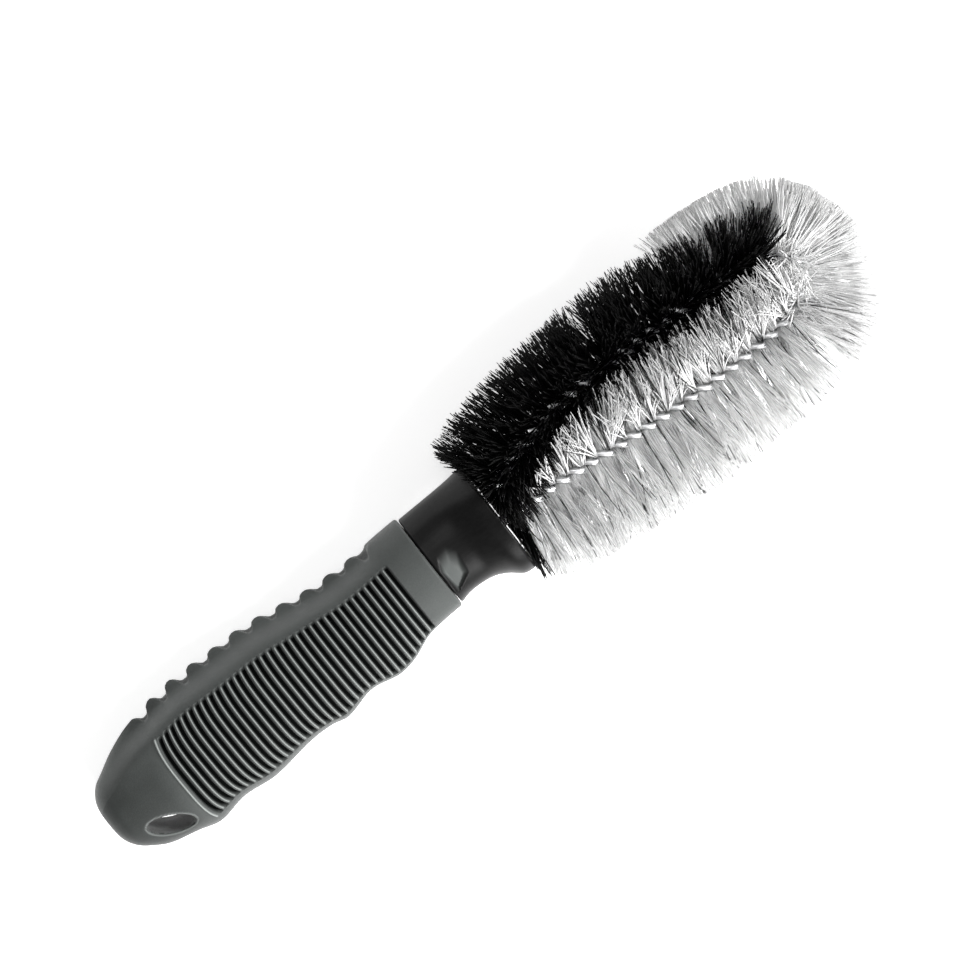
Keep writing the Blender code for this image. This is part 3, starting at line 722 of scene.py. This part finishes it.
def bundle(rng, run_from, run_to, per_mm, limit, lean, side=0, fan=0.03, spread=0.16, clump=0.05,
           ragged=0.08, straight=0.09, low=False, flat=1.0, part=0.0, outer=False, reach=np.ones_like):
    """Paths of the filaments that the wires hold between two runs along the loop.

    They leave along the line between the wires, which turns with the twist. limit is their length
    from the wire, lean how they tip along the loop, and straight how both halves of one filament
    tip opposite ways. fan and spread are how far each scatters, and clump how far small bunches do.
    flat scales how far they rise or sink, part keeps them from standing straight up over the wires,
    low sends them all down, outer sends them all out of the loop, and ragged is how unevenly they
    are trimmed. reach scales their length by where on the loop they are, and side is 1 to keep them
    out of the black filaments' share of the head and -1 to keep them in it.
    """
    run, points, direction = loop_path()
    count = int((run_to - run_from) * per_mm)
    s = rng.uniform(run_from, run_to, count)
    base = np.stack([np.interp(s, run, points[:, k]) for k in range(3)], axis=-1)
    t = np.stack([np.interp(s, run, direction[:, k]) for k in range(3)], axis=-1)
    t /= np.linalg.norm(t, axis=1, keepdims=True)
    half = rng.integers(0, 2, count)
    bunch = ((s - run_from) / 0.45).astype(int) * 2 + half
    shift = rng.normal(0, clump, (bunch.max() + 1, 2))[bunch]
    turn = np.pi / 2 + np.pi * half - 2 * np.pi * s / TWIST_PITCH + rng.normal(0, spread, count) + shift[:, 0]
    level = np.cos(turn)
    level = np.where((level > 0) | outer, 1, -1) * (part + (1 - part) * np.abs(level))
    radial = level[:, None] * outward(t) + np.sin(turn)[:, None] * np.array([0, 0, 1.0])
    if low:
        radial[:, 2] = -np.abs(radial[:, 2])
    radial[:, 2] *= flat
    radial /= np.linalg.norm(radial, axis=1, keepdims=True)
    tip = lean(s) - straight * np.cos(turn) + rng.normal(0, fan, count) + shift[:, 1]
    heading = radial + tip[:, None] * t
    heading /= np.linalg.norm(heading, axis=1, keepdims=True)
    base = base + t * rng.normal(0, 0.15, count)[:, None]
    bend = rng.normal(0, 0.004, (count, 3))
    return grow(rng, base, heading, rng.uniform(*limit, count) * reach(s), bend, side, ragged)


def packed_fan(rng, name, run_from, run_to, reach, thick, material):
    """The dense heart of the fan at the bend: one body whose fine ridges all end unevenly."""
    run, points, direction = loop_path()
    s = np.linspace(run_from, run_to, FAN_ROWS)
    base = np.stack([np.interp(s, run, points[:, k]) for k in range(3)], axis=-1)
    t = np.stack([np.interp(s, run, direction[:, k]) for k in range(3)], axis=-1)
    t /= np.linalg.norm(t, axis=1, keepdims=True)
    out = outward(t)
    k = np.arange(FAN_ROWS)
    ends = np.minimum(1, np.minimum(k, FAN_ROWS - 1 - k) / FAN_ROUND) ** 0.5
    ridge = rng.uniform(0.5, 1, FAN_ROWS)
    share = np.concatenate([np.linspace(0, 1, FAN_STEPS), np.linspace(1, 0, FAN_STEPS)[1:-1]])
    side = np.where(np.arange(len(share)) < FAN_STEPS, 1.0, -1.0)
    side[[0, FAN_STEPS - 1]] = 0
    far = reach * (0.8 + 0.2 * ends) * rng.uniform(0.6, 1, FAN_ROWS)
    height = thick * np.sin(np.pi * share**2)[None] ** 0.8 * (ends * ridge)[:, None] * side[None]
    points = base[:, None] + far[:, None, None] * share[None, :, None] * out[:, None]
    points[..., 2] += height
    tone = np.repeat(rng.uniform(0.15, 0.9, FAN_ROWS), len(share))
    points, faces = capped(points, grid_faces(FAN_ROWS, len(share)), FAN_ROWS, len(share))
    along = np.concatenate([np.tile(share, FAN_ROWS), [0.5, 0.5]])
    return mesh_object(name, points, faces, material,
                       [("tone", np.concatenate([tone, [0.5, 0.5]])), ("along", along)])


def run_at(x, arm):
    """The run along the loop where an arm (0 white, 1 black) passes x."""
    run, points, _ = loop_path()
    half = points[:, 0].argmax()
    if arm == 0:
        return float(np.interp(x, points[:half, 0], run[:half]))
    return float(np.interp(-x, -points[half:, 0], run[half:]))


def make_filaments():
    # The white filaments' tips are painted darker, as shade along the trimmed edge
    white = filament_material("white_filament", (0.93, 0.93, 0.93), (0.45, 0.45, 0.45), 0.42, 0.2)
    black = filament_material("black_filament", (0.0015, 0.0015, 0.0015), (0.003, 0.003, 0.003), 0.5, 0.1)
    rng = np.random.default_rng(SEED)
    root, start, bend = run_at(24.6, 0), run_at(29.5, 0), run_at(128, 0)
    turn_end, black_start, end = run_at(127, 1), run_at(106, 1), run_at(24.6, 1)

    def still(s):
        return np.zeros_like(s)

    def white_lean(s):
        return np.interp(s, [start, start + 8, bend - 8, bend], [-0.12, 0.0, 0.0, 0.25])

    arm = bundle(rng, start, bend, 68, (27.5, 30.5), white_lean, 1, fan=0.035, clump=0.07, flat=0.5,
                 part=0.24, ragged=0.04)
    tone = rng.random(len(arm))
    # Painted shade: inside the loop a share of the filaments is dark and the rest darker, and outside it a
    # few are dark
    inner_tone = np.where(tone < INNER_DARK, 0, tone * INNER_TONE)
    tone = np.where(arm[:, -1, 1] > arm[:, 0, 1], inner_tone, tone + OUTER_LIFT)
    finished(filament_mesh("white_arm_filaments", arm, tone, white),
             "white_filament", "white_arm_bristles")
    heart = packed_fan(rng, "white_bend_heart", bend - 2, run_at(131.5, 1), reach=20.0, thick=6.5,
                       material=white)
    finished(heart, "white_filament", "white_bend_bristles")
    tip = bundle(rng, bend - 3, turn_end, 150, (28.0, 31.0), still, 1, fan=0.09, spread=0.6, straight=0,
                 ragged=0.03, flat=0.32, part=0.4, outer=True)
    inner = bundle(rng, bend - 6, turn_end - 3, 35, (9.0, 15.0), still, 1, fan=0.3, spread=0.7, straight=0,
                   ragged=0.05, flat=0.6)
    behind = bundle(rng, turn_end - 6, black_start, 68, (26.0, 28.0), still, fan=0.1, spread=0.4, straight=0,
                    ragged=0.03, low=True, flat=0.5)
    corner = bundle(rng, bend - 3, bend + 7, 70, (29.0, 32.0), lambda s: still(s) + 0.1, 1, fan=0.12,
                    spread=0.7, straight=0, ragged=0.03, flat=0.12, part=0.5, outer=True)
    bend_paths = np.concatenate([tip, corner, inner, behind])
    finished(filament_mesh("white_bend_filaments", bend_paths, rng.uniform(0.2, 1, len(bend_paths)), white),
             "white_filament", "white_bend_bristles")

    def black_lean(s):
        return np.interp(s, [turn_end, turn_end + 14, turn_end + 40, end - 30, end],
                         [-0.6, -0.25, 0.0, 0.05, 0.22])

    def black_reach(s):
        return np.interp(s, [turn_end, turn_end + 28, turn_end + 42], [0.8, 0.86, 1.0])

    spine = bundle(rng, turn_end, end, 66, (19.5, 22.5), black_lean, -1, fan=0.07, spread=0.5, clump=0.16,
                   ragged=0.12, straight=0.05, reach=black_reach)
    finished(filament_mesh("black_arm_filaments", spine, rng.uniform(0.1, 1, len(spine)), black),
             "black_filament", "black_arm_bristles")
    first = bundle(rng, root, start, 70, (20.0, 22.5), lambda s: still(s) - 0.12, 1, fan=0.08, spread=0.4,
                   clump=0.1, ragged=0.2)
    finished(filament_mesh("black_root_filaments", first, rng.random(len(first)), black),
             "black_filament", "black_root_bristles")


# CAD pieces that stay, floor, light and camera ----------------------------------------------

def dress_nodes():
    plastic, steel = plug_material(), ferrule_material()
    for node, material in (("anchor_plug", plastic), ("end_ferrule_white_arm", steel),
                           ("end_ferrule_black_arm", steel)):
        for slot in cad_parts[node].material_slots:
            slot.material = material


def make_floor():
    size = 6.0
    mesh = bpy.data.meshes.new("floor")
    mesh.from_pydata([(x, y, 0) for x, y in ((-size, -size), (size, -size), (size, size), (-size, size))],
                     [], [(0, 1, 2, 3)])
    mesh.materials.append(floor_material())
    floor = bpy.data.objects.new("floor", mesh)
    bpy.context.scene.collection.objects.link(floor)


VIEW_TURN, ROLL = math.radians(16), math.radians(38.3)
VIEW_TARGET, VIEW_DISTANCE, VIEW_WIDTH, SENSOR = (26.1, 5.5, 0.0), 1400.0, 276.9, 36.0


def view_axes():
    """Right, up and back of the picture, in the world."""
    turn = TO_WORLD.to_3x3().normalized()
    x, y = Vector((1, 0, 0)), Vector((0, math.cos(VIEW_TURN), -math.sin(VIEW_TURN)))
    right = x * math.cos(ROLL) - y * math.sin(ROLL)
    up = x * math.sin(ROLL) + y * math.cos(ROLL)
    return [turn @ v for v in (right, up, right.cross(up))]


def make_camera():
    right, up, back = view_axes()
    data = bpy.data.cameras.new("camera")
    data.sensor_width = SENSOR
    data.lens = SENSOR * VIEW_DISTANCE / VIEW_WIDTH
    data.clip_end = 20
    camera = bpy.data.objects.new("camera", data)
    bpy.context.scene.collection.objects.link(camera)
    place = TO_WORLD @ Vector(VIEW_TARGET) + back * VIEW_DISTANCE * MM
    camera.matrix_world = Matrix.Translation(place) @ Matrix((right, up, back)).transposed().to_4x4()
    bpy.context.scene.camera = camera


def area_light(name, size, power, toward, distance):
    """A soft square light at a direction in the picture's right, up and back axes."""
    right, up, back = view_axes()
    heading = (right * toward[0] + up * toward[1] + back * toward[2]).normalized()
    data = bpy.data.lights.new(name, "AREA")
    data.size, data.energy = size, power
    lamp = bpy.data.objects.new(name, data)
    lamp.matrix_world = (Matrix.Translation(heading * distance)
                         @ heading.to_track_quat("Z", "Y").to_matrix().to_4x4())
    bpy.context.scene.collection.objects.link(lamp)


def make_light():
    world = bpy.data.worlds.new("studio")
    world.use_nodes = True
    background = world.node_tree.nodes["Background"]
    background.inputs["Color"].default_value = (1, 1, 1, 1)
    background.inputs["Strength"].default_value = 0.26
    bpy.context.scene.world = world
    area_light("key", 0.6, 42, (0.95, 0.1, 0.55), 1.5)
    area_light("finger_side", 0.8, 34, (0.55, -0.9, 0.4), 1.6)
    area_light("spine_side", 0.7, 8, (-0.8, 0.75, 0.35), 1.5)
    area_light("top", 0.8, 10, (-0.1, 0.1, 1.0), 1.8)
    bpy.context.scene.view_settings.view_transform = "Standard"


make_camera()
make_light()
make_floor()
make_grip(grip_material())
make_core(core_material())
make_wires(wire_material())
make_filaments()
dress_nodes()
